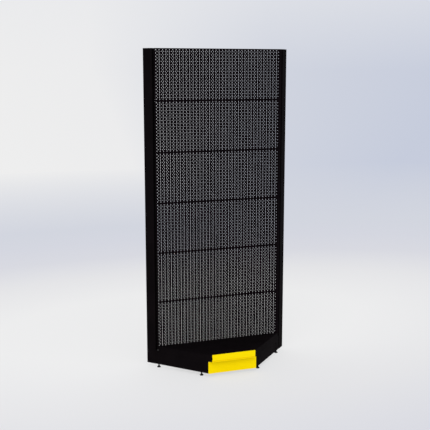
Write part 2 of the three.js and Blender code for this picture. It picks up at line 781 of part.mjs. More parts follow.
export default unit;
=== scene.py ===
"""The looks of an inner corner bay of gondola shelving.

Black powder-coated steel with a perforated back wall and a low base deck, and a yellow price
rail and plinth at the front. Metres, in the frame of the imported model: X to the right seen
from the front, Y backwards, Z up, and the floor at Z = 0.
"""

import json
import math

import bmesh
import bpy
from mathutils import Matrix, Vector

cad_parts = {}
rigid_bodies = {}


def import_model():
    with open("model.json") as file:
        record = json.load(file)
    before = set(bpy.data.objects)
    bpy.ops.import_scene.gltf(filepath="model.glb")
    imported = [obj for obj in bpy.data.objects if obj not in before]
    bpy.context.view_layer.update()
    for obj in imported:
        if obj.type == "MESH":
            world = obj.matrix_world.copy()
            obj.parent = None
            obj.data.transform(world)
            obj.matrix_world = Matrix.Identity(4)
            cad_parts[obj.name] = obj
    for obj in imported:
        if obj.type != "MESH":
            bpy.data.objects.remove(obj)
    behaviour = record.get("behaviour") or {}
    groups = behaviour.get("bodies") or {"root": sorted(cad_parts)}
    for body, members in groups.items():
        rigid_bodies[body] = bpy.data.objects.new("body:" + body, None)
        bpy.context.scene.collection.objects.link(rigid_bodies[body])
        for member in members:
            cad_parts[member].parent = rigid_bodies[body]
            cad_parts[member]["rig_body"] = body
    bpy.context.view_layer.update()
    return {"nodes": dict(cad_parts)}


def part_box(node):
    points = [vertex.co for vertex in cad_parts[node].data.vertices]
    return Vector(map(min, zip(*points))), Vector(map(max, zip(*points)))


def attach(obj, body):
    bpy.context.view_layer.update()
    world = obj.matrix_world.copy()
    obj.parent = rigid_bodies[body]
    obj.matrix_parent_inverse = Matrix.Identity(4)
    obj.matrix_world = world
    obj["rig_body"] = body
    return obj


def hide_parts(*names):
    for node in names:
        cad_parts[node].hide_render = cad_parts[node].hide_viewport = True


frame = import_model()

MM = 0.001
QUARTER = math.pi / 2
DIAGONAL = math.sqrt(0.5)        # sine and cosine of 45 degrees

# ---- sizes taken from the frame ---------------------------------------------------------

PANEL_NODES = [f"back_panel_{row}" for row in range(1, 7)]
SIDES = {"left": -1, "right": 1}
PLACES = ("front", "rear")

deck_low, deck_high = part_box("base_deck")
rail_low, rail_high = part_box("price_rail")
plinth_low, plinth_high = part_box("plinth")

# ---- sizes of the sheet metal and its details -------------------------------------------

PANEL_SHEET = 1.0 * MM
PANEL_BEND = 1.8 * MM
DECK_SHEET = 1.2 * MM
DECK_BEND = 2.4 * MM
DECK_CORNER = 5.0 * MM
DECK_REAR_ROLL = 1               # the rear edge has this many steps of the bend, to clear the
                                 # brackets that it passes over
DECK_REAR_LIP = 25 * MM
DECK_RETURN = 10 * MM            # folded under along the front skirt's lower edge
DECK_RETURN_GAP = 12 * MM        # from the ends of that return to the deck's front corners
BRACKET_REACH = 36 * MM          # the deck's rear lip ends this far from the side planes
PLINTH_SHEET = 1.0 * MM
PLINTH_BEND = 2.0 * MM
PLINTH_TOP_INSET = 6 * MM
PLINTH_BOTTOM_INSET = 50 * MM
RAIL_WALL = 1.6 * MM
RAIL_BEND = 1.0 * MM
RAIL_LIP = 4.0 * MM              # the lip under the groove along the rail's lower edge
RAIL_GROOVE_HEIGHT = 6.1 * MM
RAIL_GROOVE_DEPTH = 6.0 * MM
RAIL_LOWER_LEG = 16 * MM
RAIL_UPPER_LEG = 20 * MM
BEND_STEPS = 4

SHEET_EDGE = 0.25 * MM           # how wide the cut edges of the sheets are rounded
RAIL_EDGE = 0.3 * MM
EDGE_STEPS = 2
EDGE_ANGLE = math.radians(40)    # sharper edges than this are rounded
SMOOTH_ANGLE = math.radians(35)  # and flatter ones than this are shaded smooth
MERGE_GAP = 0.002 * MM           # points that are closer than this are one
SAME_PLACE = 0.001 * MM

# Two kinds of rows alternate up the wall: small upright ovals, and tall slots between them.
ROW_PITCH = 25 * MM
OVAL_PITCH = 16.134 * MM
OVAL_SIZE = (4.5 * MM, 5.2 * MM)
OVAL_BAND = 8.5 * MM
SLOT_PITCH = OVAL_PITCH * 5 / 3
SLOT_SIZE = (3.1 * MM, 9.0 * MM)
PATTERN_MIDDLE = -2.8 * MM       # the pattern's middle is a little left of the panel's
PATTERN_REACH = 521 * MM

# The notches in the panels' side returns, back from the panels' face and down from their tops.
HOOK_NOTCH_DEPTHS = (6 * MM, 17 * MM)
HOOK_NOTCH_HEIGHT = 6 * MM


# ---- materials --------------------------------------------------------------------------

def srgb(red, green, blue):
    """A colour written as 0 to 255 display values, as linear values with an alpha of 1."""
    def linear(value):
        share = value / 255
        return share / 12.92 if share <= 0.04045 else ((share + 0.055) / 1.055) ** 2.4
    return (linear(red), linear(green), linear(blue), 1.0)


MIX_FACTOR, MIX_FIRST, MIX_SECOND = 0, 6, 7      # a Mix node's sockets for colours
MIX_RESULT = 2


class Finish:
    """A material built of nodes round one shader. Its patterns are laid out in metres."""

    def __init__(self, name, roughness, metallic=0.0, specular=0.5):
        self.material = bpy.data.materials.new(name)
        self.material.use_nodes = True
        self.nodes = self.material.node_tree.nodes
        self.links = self.material.node_tree.links
        self.shader = self.nodes["Principled BSDF"]
        self.shader.inputs["Roughness"].default_value = roughness
        self.shader.inputs["Metallic"].default_value = metallic
        self.shader.inputs["Specular IOR Level"].default_value = specular
        self.place = self.nodes.new("ShaderNodeTexCoord").outputs["Object"]
        self.normal = None

    def mapped(self, stretch=(1, 1, 1)):
        """The places on the surface, drawn out by `stretch` along X, Y and Z."""
        mapping = self.nodes.new("ShaderNodeMapping")
        mapping.inputs["Scale"].default_value = [1 / share for share in stretch]
        self.links.new(self.place, mapping.inputs["Vector"])
        return mapping.outputs["Vector"]

    def noise(self, size, detail=2.0, stretch=(1, 1, 1)):
        """Noise with grains about `size` metres across, drawn out by `stretch`."""
        noise = self.nodes.new("ShaderNodeTexNoise")
        noise.inputs["Scale"].default_value = 1 / size
        noise.inputs["Detail"].default_value = detail
        self.links.new(self.mapped(stretch), noise.inputs["Vector"])
        return noise.outputs["Fac"]

    def cells(self, size):
        """The distance to the nearest of many points about `size` metres apart."""
        cells = self.nodes.new("ShaderNodeTexVoronoi")
        cells.inputs["Scale"].default_value = 1 / size
        self.links.new(self.mapped(), cells.inputs["Vector"])
        return cells.outputs["Distance"]

    def between(self, factor, low, high, start=0.3, end=0.7):
        """A pattern's range from start to end, as values from low to high."""
        span = self.nodes.new("ShaderNodeMapRange")
        span.inputs["From Min"].default_value = start
        span.inputs["From Max"].default_value = end
        span.inputs["To Min"].default_value = low
        span.inputs["To Max"].default_value = high
        self.links.new(factor, span.inputs["Value"])
        return span.outputs["Result"]

    def colours(self, factor, *colours, start=0.3, end=0.7):
        """A pattern as colours, evenly spaced from start to end."""
        ramp = self.nodes.new("ShaderNodeValToRGB")
        stops = ramp.color_ramp.elements
        while len(stops) < len(colours):
            stops.new(0.5)
        for i, colour in enumerate(colours):
            stops[i].position = start + (end - start) * i / (len(colours) - 1)
            stops[i].color = colour
        self.links.new(factor, ramp.inputs["Fac"])
        return ramp.outputs["Color"]

    def mixed(self, factor, first, second):
        """From first to second as the factor grows. Second may be one plain colour."""
        mix = self.nodes.new("ShaderNodeMix")
        mix.data_type = "RGBA"
        self.links.new(factor, mix.inputs[MIX_FACTOR])
        self.links.new(first, mix.inputs[MIX_FIRST])
        if isinstance(second, tuple):
            mix.inputs[MIX_SECOND].default_value = second
        else:
            self.links.new(second, mix.inputs[MIX_SECOND])
        return mix.outputs[MIX_RESULT]

    def set(self, socket, value):
        self.links.new(value, self.shader.inputs[socket])

    def relief(self, height, depth):
        """Adds relief `depth` metres deep on top of what is there already."""
        bump = self.nodes.new("ShaderNodeBump")
        bump.inputs["Distance"].default_value = depth
        bump.inputs["Strength"].default_value = 1.0
        self.links.new(height, bump.inputs["Height"])
        if self.normal is not None:
            self.links.new(self.normal, bump.inputs["Normal"])
        self.normal = bump.outputs["Normal"]
        self.links.new(self.normal, self.shader.inputs["Normal"])


def powder_coat(name, low, high, roughness, specular):
    """Powder coat: an orange-peel skin with a fine grain, and slow changes of its tone."""
    coat = Finish(name, roughness, specular=specular)
    tone = coat.colours(coat.noise(120 * MM, 4.0), low, high)
    middle = [(a + b) / 2 for a, b in zip(low, high)]
    speckle = coat.colours(coat.noise(1.1 * MM, 3.0), low, middle, high)
    coat.set("Base Color", coat.mixed(coat.noise(20 * MM, 2.0), tone, speckle))
    smoother, rougher = roughness - 0.05, roughness + 0.06
    coat.set("Roughness", coat.between(coat.noise(30 * MM, 3.0), smoother, rougher))
    coat.relief(coat.noise(2.8 * MM, 1.0), 0.06 * MM)
    coat.relief(coat.noise(0.7 * MM, 2.0), 0.025 * MM)
    return coat.material


def extruded_plastic():
    """Yellow plastic strip, with the fine lines that its die leaves along it."""
    strip = Finish("yellow_plastic_strip", 0.42, specular=0.03)
    along = (40, 1, 1)
    streaks = strip.noise(2 * MM, 3.0, along)
    strip.set("Base Color", strip.colours(streaks, srgb(253, 221, 0), srgb(255, 228, 2)))
    strip.set("Roughness", strip.between(strip.noise(15 * MM, 2.0, along), 0.36, 0.46))
    strip.relief(strip.noise(0.8 * MM, 1.0, along), 0.02 * MM)
    return strip.material


def moulded_plastic():
    """Black plastic with a spark-eroded grain."""
    moulded = Finish("black_moulded_plastic", 0.6, specular=0.2)
    tone = moulded.noise(6 * MM, 3.0)
    moulded.set("Base Color", moulded.colours(tone, srgb(12, 12, 13), srgb(20, 20, 21)))
    moulded.set("Roughness", moulded.between(moulded.noise(3 * MM, 2.0), 0.52, 0.68))
    moulded.relief(moulded.cells(0.6 * MM), 0.05 * MM)
    return moulded.material


def plating(name, bloom_tones, spangle_tones):
    """Zinc plating with a faint bloom, spangles and rub marks."""
    zinc = Finish(name, 0.34, metallic=1.0)
    bloom = zinc.colours(zinc.noise(4 * MM, 4.0), *bloom_tones)
    spangle = zinc.colours(zinc.cells(1.6 * MM), *spangle_tones, start=0.0, end=0.8)
    zinc.set("Base Color", zinc.mixed(zinc.noise(10 * MM, 1.0), bloom, spangle))
    zinc.set("Roughness", zinc.between(zinc.noise(2 * MM, 3.0), 0.26, 0.45))
    zinc.relief(zinc.noise(0.5 * MM, 2.0), 0.01 * MM)
    return zinc.material


def rolled_spring_steel():
    """Bare spring steel with rolling lines that run upwards."""
    steel = Finish("rolled_spring_steel", 0.3, metallic=1.0)
    lines = steel.noise(0.6 * MM, 3.0, (1, 1, 30))
    steel.set("Base Color", steel.colours(lines, srgb(88, 92, 98), srgb(126, 128, 132)))
    steel.set("Roughness", steel.between(lines, 0.24, 0.4))
    steel.relief(lines, 0.01 * MM)
    return steel.material


LOOKS = {
    "black_coat": powder_coat("black_powder_coat", srgb(9, 7, 8), srgb(18, 14, 16),
                              roughness=0.55, specular=0.006),
    "wall_coat": powder_coat("wall_powder_coat", srgb(10, 7, 9), srgb(20, 15, 18),
                             roughness=0.6, specular=0.006),
    "yellow_coat": powder_coat("yellow_powder_coat", srgb(251, 218, 0), srgb(255, 224, 2),
                               roughness=0.5, specular=0.02),
    "yellow_plastic": extruded_plastic(),
    "black_plastic": moulded_plastic(),
    "zinc": plating("zinc_plate", (srgb(140, 143, 150), srgb(186, 186, 182)),
                    (srgb(152, 154, 160), srgb(178, 180, 184))),
    "black_zinc": plating("black_zinc_plate", (srgb(22, 22, 24), srgb(38, 37, 36)),
                          (srgb(26, 27, 30), srgb(44, 45, 48))),
    "spring_steel": rolled_spring_steel(),
}


# ---- mesh tools -------------------------------------------------------------------------

def make_piece(name, points, faces, node, slot, facing=None):
    """A piece in the row frame that stands for a CAD node. An open sheet is turned to face
    `facing`, and a closed body is turned outwards."""
    mesh = bpy.data.meshes.new(name)
    mesh.from_pydata([tuple(point) for point in points], [], faces)
    shape = bmesh.new()
    shape.from_mesh(mesh)
    bmesh.ops.remove_doubles(shape, verts=shape.verts, dist=MERGE_GAP)
    bmesh.ops.recalc_face_normals(shape, faces=shape.faces)
    if facing is not None:
        lean = sum((face.normal * face.calc_area() for face in shape.faces), Vector())
        if lean.dot(Vector(facing)) < 0:
            bmesh.ops.reverse_faces(shape, faces=shape.faces)
    shape.to_mesh(mesh)
    shape.free()
    mesh.polygons.foreach_set("use_smooth", [True] * len(mesh.polygons))
    mesh.set_sharp_from_angle(angle=SMOOTH_ANGLE)
    mesh.materials.append(LOOKS[slot])
    piece = bpy.data.objects.new(name, mesh)
    bpy.context.scene.collection.objects.link(piece)
    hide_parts(node)
    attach(piece, frame["nodes"][node]["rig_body"])
    return piece


def thicken(piece, thickness):
    """Gives a sheet its thickness, behind the face that it was drawn as."""
    solid = piece.modifiers.new("thickness", "SOLIDIFY")
    solid.thickness = thickness
    solid.offset = -1
    solid.use_even_offset = True
    return piece


def round_edges(piece, width, gives_way=True):
    """Breaks the sharp edges, so that they catch the light as real ones do. Where the edges
    are short, a width that gives way is narrowed by Blender all over the piece."""
    bevel = piece.modifiers.new("edges", "BEVEL")
    bevel.width = width
    bevel.segments = EDGE_STEPS
    bevel.limit_method = "ANGLE"
    bevel.angle_limit = EDGE_ANGLE
    bevel.use_clamp_overlap = gives_way
    bevel.harden_normals = True
    return piece


def bend_angles(steps=BEND_STEPS):
    return [QUARTER * step / steps for step in range(steps + 1)]


class Sheet:
    """The outer face of a folded sheet, as points and faces."""

    def __init__(self):
        self.points = []
        self.faces = []

    def face(self, corners):
        start = len(self.points)
        self.points.extend(corners)
        self.faces.append(list(range(start, start + len(corners))))

    def grid(self, rows, skip=lambda row, column: False):
        """Faces between successive rows of points, apart from those that skip names."""
        for r, (low, high) in enumerate(zip(rows, rows[1:])):
            for c in range(len(low) - 1):
                if not skip(r, c):
                    self.face([low[c], low[c + 1], high[c + 1], high[c]])


def ring_body(rings, closed=False):
    """Points and faces of a body made of rings with equal numbers of points. Its ends are
    capped, unless its last ring joins its first."""
    count = len(rings[0])
    points = [point for ring in rings for point in ring]
    faces = []
    pairs = len(rings) if closed else len(rings) - 1
    for r in range(pairs):
        low, high = r * count, (r + 1) % len(rings) * count
        for i in range(count):
            j = (i + 1) % count
            faces.append([low + i, low + j, high + j, high + i])
    if not closed:
        faces.append(list(range(count))[::-1])
        faces.append([len(points) - count + i for i in range(count)])
    return points, faces


def joined(*bodies):
    """Several bodies as the points and faces of one."""
    points, faces = [], []
    for body_points, body_faces in bodies:
        start = len(points)
        points += body_points
        faces += [[start + corner for corner in face] for face in body_faces]
    return points, faces


def placed(body, matrix):
    """The points and faces of a body, moved by a matrix."""
    points, faces = body
    return [matrix @ Vector(point) for point in points], faces


def sheet_outline(path, thickness, radius):
    """The outline of a sheet folded along a path. The path is the middle of the sheet's
    thickness, and the radius is that of its bends, also at the middle."""
    left, right = [], []
    corners = [Vector(point) for point in path]
    for i, corner in enumerate(corners):
        before = (corner - corners[i - 1]).normalized() if i > 0 else None
        after = (corners[i + 1] - corner).normalized() if i < len(corners) - 1 else None
        if before is None or after is None:
            run = before or after
            across = Vector((-run.y, run.x)) * thickness / 2
            left.append(corner + across)
            right.append(corner - across)
            continue
        turn = math.atan2(before.x * after.y - before.y * after.x, before.dot(after))
        hand = math.copysign(1, turn)
        towards = Vector((-before.y, before.x)) * hand
        centre = corner - before * radius * math.tan(abs(turn) / 2) + towards * radius
        for step in range(BEND_STEPS + 1):
            outwards = Matrix.Rotation(turn * step / BEND_STEPS, 2) @ -towards
            left.append(centre + outwards * (radius - hand * thickness / 2))
            right.append(centre + outwards * (radius + hand * thickness / 2))
    return left + right[::-1]


# ---- perforated back panels -------------------------------------------------------------

def half_hole(width, height):
    """The right half of an upright hole with round ends, from its top to its bottom."""
    radius = width / 2
    straight = height / 2 - radius
    arc = [(radius * math.sin(angle), straight + radius * math.cos(angle))
           for angle in bend_angles(2)]
    return arc + [(x, -z) for x, z in reversed(arc)]


def hole_middles(pitch, width):
    """Where the holes of a row are, on both sides of the pattern's middle."""
    reach = PATTERN_REACH - width / 2
    first = math.ceil((-reach - PATTERN_MIDDLE) / pitch)
    last = math.floor((reach - PATTERN_MIDDLE) / pitch)
    return [PATTERN_MIDDLE + pitch * i for i in range(first, last + 1)]


OVALS = (hole_middles(OVAL_PITCH, OVAL_SIZE[0]), half_hole(*OVAL_SIZE))
SLOTS = (hole_middles(SLOT_PITCH, SLOT_SIZE[0]), half_hole(*SLOT_SIZE))


def panel_bands(rows, bottom, low, high):
    """The panel's bands from low to high, each as (low, high, middle, row of holes). The rows
    of slots are counted, and the first of them is half a pitch above the bottom."""
    bands = []
    start = low
    for row in range(rows):
        slot_middle = bottom + (row + 0.5) * ROW_PITCH
        oval_middle = bottom + (row + 1) * ROW_PITCH
        if row == rows - 1:
            bands.append((start, high, slot_middle, SLOTS))
            break
        bands.append((start, oval_middle - OVAL_BAND / 2, slot_middle, SLOTS))
        start = oval_middle + OVAL_BAND / 2
        bands.append((oval_middle - OVAL_BAND / 2, start, oval_middle, OVALS))
    return bands


def merged(*rows):
    """The places of several rows in order, with those that fall together taken once."""
    places = []
    for x in sorted(x for row in rows for x in row):
        if not places or x - places[-1] > SAME_PLACE:
            places.append(x)
    return places


def band_faces(sheet, y, half, band, below, above, edge_stops):
    """Faces of one band of the panel. They run from hole to hole, and share their corners
    with the bands below and above."""
    low, high, middle, (holes, outline) = band
    stops = [-half, *holes, half]
    for i, (left, right) in enumerate(zip(stops, stops[1:])):
        lower = [(x, low) for x in below if left + SAME_PLACE < x < right - SAME_PLACE]
        upper = [(x, high) for x in above if left + SAME_PLACE < x < right - SAME_PLACE]
        if i < len(stops) - 2:
            right_edge = [(right - x, middle + z) for x, z in reversed(outline)]
        else:
            right_edge = [(right, z) for z in edge_stops]
        if i > 0:
            left_edge = [(left + x, middle + z) for x, z in outline]
        else:
            left_edge = [(left, z) for z in reversed(edge_stops)]
        corners = [(left, low), *lower, (right, low), *right_edge, (right, high),
                   *reversed(upper), (left, high), *left_edge]
        sheet.face([(x, y, z) for x, z in corners])


def back_panel(node):
    """A panel, from its perforated face to the returns round its edges."""
    low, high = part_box(node)
    y = low.y
    half = high.x - PANEL_BEND
    z0, z1 = low.z + PANEL_BEND, high.z - PANEL_BEND
    rows = round((z1 - z0) / ROW_PITCH)
    bottom = (low.z + high.z - rows * ROW_PITCH) / 2
    notch = high.z - HOOK_NOTCH_HEIGHT
    bands = panel_bands(rows, bottom, z0, z1)
    sheet = Sheet()
    middles = [holes for _, _, _, (holes, _) in bands]
    seams = [merged(*pair) for pair in zip([[], *middles], [*middles, []])]
    for i, band in enumerate(bands):
        stops = [notch] if band[0] < notch < band[1] else []
        band_faces(sheet, y, half, band, seams[i], seams[i + 1], stops)

    # Returns along the top and the bottom.
    for edge, up, seam in ((z0, -1, seams[0]), (z1, 1, seams[-1])):
        columns = [-half, *seam, half]
        rows = [[(x, y + PANEL_BEND * (1 - math.cos(a)), edge + up * PANEL_BEND * math.sin(a))
                 for x in columns] for a in bend_angles()]
        rows.append([(x, high.y, edge + up * PANEL_BEND) for x in columns])
        sheet.grid(rows)

    # Returns along the two sides, each with a notch for the hook that carries the panel.
    heights = merged([band[0] for band in bands], [notch, z1])
    for hand in (-1, 1):
        rows = []
        depths = [y + depth for depth in HOOK_NOTCH_DEPTHS] + [high.y]
        for z in heights:
            bend = [(half + PANEL_BEND * math.sin(a), y + PANEL_BEND * (1 - math.cos(a)))
                    for a in bend_angles()]
            flat = [(high.x, depth) for depth in depths]
            rows.append([(hand * x, depth, z) for x, depth in bend + flat])
        sheet.grid(rows, lambda row, column: (
            row == len(heights) - 2 and column == BEND_STEPS + 1))
    piece = make_piece(f"{node}_perforated", sheet.points, sheet.faces, node, "wall_coat",
                       facing=(0, -1, 0))
    thicken(piece, PANEL_SHEET)


# ---- base deck --------------------------------------------------------------------------

def deck_outline(inset, lip_half):
    """The deck's plan, as (x, y, part) with its corners rounded, moved inwards by inset.
    The parts are left, front_corner, front, rear_corner, rear and so on, and each names
    the stretch that starts at its point."""
    narrow = deck_high.x - (deck_high.y - deck_low.y)       # the sides run in at 45 degrees
    corners = [
        ((-deck_high.x, deck_high.y), "rear_corner", "left"),
        ((-narrow, deck_low.y), "front_corner", "front"),
        ((narrow, deck_low.y), "front_corner", "right"),
        ((deck_high.x, deck_high.y), "rear_corner", "rear"),
    ]
    outline = []
    for i, (corner, round_name, next_name) in enumerate(corners):
        corner = Vector(corner)
        before = (corner - Vector(corners[i - 1][0])).normalized()
        after = (Vector(corners[(i + 1) % 4][0]) - corner).normalized()
        turn = math.atan2(before.x * after.y - before.y * after.x, before.dot(after))
        inwards = Vector((-before.y, before.x))
        centre = corner - before * DECK_CORNER * math.tan(turn / 2) + inwards * DECK_CORNER
        for step in range(BEND_STEPS + 1):
            outwards = Matrix.Rotation(turn * step / BEND_STEPS, 2) @ -inwards
            point = centre + outwards * (DECK_CORNER - inset)
            outline.append((point.x, point.y, round_name if step < BEND_STEPS else next_name))
        if next_name == "front":
            return_half = narrow - DECK_RETURN_GAP
            outline.append((-return_half, deck_low.y + inset, "front_return"))
            outline.append((return_half, deck_low.y + inset, "front"))
        if next_name == "rear":
            outline.append((lip_half, deck_high.y - inset, "rear_lip"))
            outline.append((-lip_half, deck_high.y - inset, "rear"))
    return outline


def base_deck():
    """The deck's top, the skirts at its front and sides, the lip behind, and the return under
    the front skirt."""
    lip_half = deck_high.x - BRACKET_REACH * math.sqrt(2)
    top, bottom = deck_high.z, deck_low.z
    levels = [(DECK_BEND * (1 - math.sin(a)), top - DECK_BEND * (1 - math.cos(a)))
              for a in bend_angles()]
    folded = len(levels) - 1
    levels.append((0, top - DECK_REAR_LIP))
    levels.append((0, bottom + DECK_BEND))
    levels.append((0, bottom))
    parts = [part for _, _, part in deck_outline(0, lip_half)]
    rings = []
    for inset, z in levels:
        ring = [(x, y, z) for x, y, _ in deck_outline(inset, lip_half)]
        rings.append(ring + ring[:1])
    lip_level, return_level = folded + 1, folded + 2

    def skip(row, column):
        part = parts[column]
        if part in ("rear", "rear_corner"):
            return row >= DECK_REAR_ROLL
        if row < folded:
            return False
        if part == "rear_lip":
            return row >= lip_level
        return part == "front_return" and row >= return_level

    sheet = Sheet()
    sheet.face(rings[0][:-1])
    sheet.grid(rings, skip)

    # The front skirt is folded under along its lower edge.
    reach = abs(rings[-1][parts.index("front_return")][0])
    profile = [(deck_low.y + DECK_BEND * (1 - math.cos(a)),
                bottom + DECK_BEND * (1 - math.sin(a))) for a in bend_angles()]
    profile.append((deck_low.y + DECK_RETURN, bottom))
    rows = [[(x, y, z) for x in (-reach, reach)] for y, z in profile]
    sheet.grid(rows)
    piece = make_piece("base_deck_tray", sheet.points, sheet.faces, "base_deck", "black_coat",
                       facing=(0, 0, 1))
    round_edges(thicken(piece, DECK_SHEET), SHEET_EDGE)


# ---- plinth and price rail --------------------------------------------------------------

def plinth():
    """The kick plate's face, with folds backwards along its top and its bottom."""
    half, y = plinth_high.x, plinth_low.y
    top_half, bottom_half = half - PLINTH_TOP_INSET, half - PLINTH_BOTTOM_INSET
    columns = [-half, -top_half, -bottom_half, bottom_half, top_half, half]
    low, high = plinth_low.z, plinth_high.z
    heights = [low, low + PLINTH_BEND, high - PLINTH_BEND, high]
    sheet = Sheet()

    def folded_away(row, column):
        bottom_fold = row == 0 and column == 2
        top_fold = row == 2 and column in (1, 2, 3)
        return bottom_fold or top_fold

    sheet.grid([[(x, y, z) for x in columns] for z in heights], folded_away)
    folds = ((heights[1], -1, columns[2:4]), (heights[2], 1, columns[1:5]))
    for edge, up, ends in folds:
        rows = [[(x, y + PLINTH_BEND * (1 - math.cos(a)), edge + up * PLINTH_BEND * math.sin(a))
                 for x in ends] for a in bend_angles()]
        rows.append([(x, plinth_high.y, edge + up * PLINTH_BEND) for x in ends])
        sheet.grid(rows)
    piece = make_piece("plinth_cover", sheet.points, sheet.faces, "plinth", "yellow_coat",
                       facing=(0, -1, 0))
    round_edges(thicken(piece, PLINTH_SHEET), SHEET_EDGE)


def price_rail():
    """The price strip, drawn as its section and run along the front."""
    half, wall = rail_high.x, RAIL_WALL / 2
    front, back = rail_low.y + wall, rail_high.y - wall
    bottom, top = rail_low.z + wall, rail_high.z - wall
    groove_low, groove_back = bottom + RAIL_LIP, front + RAIL_GROOVE_DEPTH
    groove_high = groove_low + RAIL_GROOVE_HEIGHT
    path = [(back, rail_low.z + RAIL_LOWER_LEG), (back, bottom), (front, bottom),
            (front, groove_low), (groove_back, groove_low), (groove_back, groove_high),
            (front, groove_high), (front, top), (back, top), (back, top - RAIL_UPPER_LEG)]
    outline = sheet_outline(path, RAIL_WALL, RAIL_BEND)
    body = ring_body([[(x, y, z) for y, z in outline] for x in (-half, half)])
    piece = make_piece("price_rail_strip", *body, "price_rail", "yellow_plastic")
    round_edges(piece, RAIL_EDGE)


# ---- turned and threaded pieces ---------------------------------------------------------

ROUND_POINTS = 48
THREAD_POINTS = 24               # round a thread
THREAD_ROWS = 6                  # in each of its turns
THREAD_DEPTH = 0.61              # against its pitch
CHAMFER_DROP = 3.4 * MM          # times the share by which a point reaches past the flats
FACE_SHARE = 0.94                # a hexagon's round face, against the distance to its flats
EDGE_BREAK = 0.2 * MM            # at the edges of heads, nuts and washers
DOME_STEPS = 6
SHANK_OVERLAP = 0.1 * MM         # how far a shank runs into its head


def circle(radius, z):
    """A ring of points round Z."""
    angles = [2 * math.pi * i / ROUND_POINTS for i in range(ROUND_POINTS)]
    return [(radius * math.cos(angle), radius * math.sin(angle), z) for angle in angles]


def turned(profile):
    """A closed body of revolution about Z, from a profile of (radius, height)."""
    return ring_body([circle(radius, z) for radius, z in profile])


def threaded(radius, pitch, low, high):
    """A threaded bar along Z. Its surface is a grid whose radius follows the helix, and its
    far end is chamfered."""
    depth = THREAD_DEPTH * pitch
    rows = round((high - low) / pitch * THREAD_ROWS)
    rings = []
    for row in range(rows + 1):
        z = low + (high - low) * row / rows
        limit = radius - max(0, z - (high - pitch)) / pitch * depth
        ring = []
        for i in range(THREAD_POINTS):
            turns = (z / pitch - i / THREAD_POINTS) % 1
            crest = radius - depth * abs(2 * turns - 1)
            r = min(crest, limit)
            angle = 2 * math.pi * i / THREAD_POINTS
            ring.append((r * math.cos(angle), r * math.sin(angle), z))
        rings.append(ring)
    return ring_body(rings)


def hexagon(across_flats, z, drop=0.0):
    """A ring round a hexagon. With a drop, its corners lie lower than its flats, as the edge
    of a chamfered head does."""
    flat = across_flats / 2
    ring = []
    for i in range(ROUND_POINTS):
        angle = 2 * math.pi * i / ROUND_POINTS
        r = flat / math.cos((angle % (math.pi / 3)) - math.pi / 6)
        ring.append((r * math.cos(angle), r * math.sin(angle), z - drop * (r - flat) / flat))
    return ring


def hex_head(across_flats, height):
    """A hexagon head that stands on z = 0 and rises to its height, with a dish in its top."""
    flat = across_flats / 2
    foot, foot_break = 0.96 * flat, 0.3 * MM
    dish_rim, dish_floor, dish_depth = 0.6 * flat, 0.52 * flat, 0.3 * MM
    return ring_body([
        circle(foot, 0),
        hexagon(across_flats, foot_break),
        hexagon(across_flats, height - EDGE_BREAK, CHAMFER_DROP),
        circle(FACE_SHARE * flat, height),
        circle(dish_rim, height),
        circle(dish_floor, height - dish_depth),
    ])


def hex_nut(across_flats, bore, height):
    """A hexagon nut with a bore of that radius, countersunk at both ends."""
    face, sink = FACE_SHARE * across_flats / 2, 0.5 * MM
    upper = hexagon(across_flats, height - EDGE_BREAK, CHAMFER_DROP)
    lower = [(x, y, height - z) for x, y, z in upper]
    return ring_body([
        circle(bore + sink, 0), circle(face, 0), lower, upper,
        circle(face, height), circle(bore + sink, height),
        circle(bore, height - sink), circle(bore, sink),
    ], closed=True)


def socket_head(radius, height, socket):
    """A low domed head on z = 0, with a hexagon socket."""
    foot, foot_break = 0.97 * radius, 0.12 * height
    shoulder, dome_rise, dome_end = 0.35 * height, 0.65 * height, 0.75 * socket
    mouth, floor = 0.97 * height, 0.45 * height
    floor_width, floor_middle = 0.96 * socket, 0.2 * socket
    dome = [circle(radius * math.cos(a), shoulder + dome_rise * math.sin(a))
            for a in bend_angles(DOME_STEPS) if radius * math.cos(a) > dome_end]
    return ring_body([
        circle(foot, 0), circle(radius, foot_break), *dome,
        hexagon(socket, mouth), hexagon(floor_width, floor), circle(floor_middle, floor),
    ])


def washer(inner, outer, height):
    """A flat washer from z = 0 to its height, with its outer edges broken."""
    broken = outer - EDGE_BREAK
    return ring_body([
        circle(inner, 0), circle(broken, 0), circle(outer, EDGE_BREAK),
        circle(outer, height - EDGE_BREAK), circle(broken, height), circle(inner, height),
    ], closed=True)


def axis_frame(node, axis):
    """The frame of a turned CAD node. Its Z runs along the axis, from the node's start."""
    axis = Vector(axis).normalized()
    across = axis.orthogonal().normalized()
    other = axis.cross(across)
    points = [vertex.co for vertex in frame["nodes"][node].data.vertices]
    start = min(point.dot(axis) for point in points)
    length = max(point.dot(axis) for point in points) - start

    def middle(direction):
        reach = [point.dot(direction) for point in points]
        return (min(reach) + max(reach)) / 2

    origin = axis * start + across * middle(across) + other * middle(other)
    matrix = Matrix((across, other, axis)).transposed().to_4x4()
    matrix.translation = origin
    return matrix, length


def backwards(side):
    """Along a side of the unit, backwards and outwards."""
    return Vector((SIDES[side] * DIAGONAL, DIAGONAL, 0))


def inwards(side):
    """Square to a side of the unit, towards the middle."""
    return Vector((-SIDES[side] * DIAGONAL, DIAGONAL, 0))


def fastener(node, axis, head, head_height, shank, pitch, slot):
    """A bolt or screw, with a shank of that radius, whose axis runs from its head to its tip.
    A head is drawn standing on its underside, so it is turned over here."""
    matrix, length = axis_frame(node, axis)
    turned_over = Matrix.Translation((0, 0, head_height)) @ Matrix.Rotation(math.pi, 4, "X")
    body = joined(placed(head, turned_over),
                  threaded(shank, pitch, head_height - SHANK_OVERLAP, length))
    make_piece(f"{node}_threaded", *placed(body, matrix), node, slot)


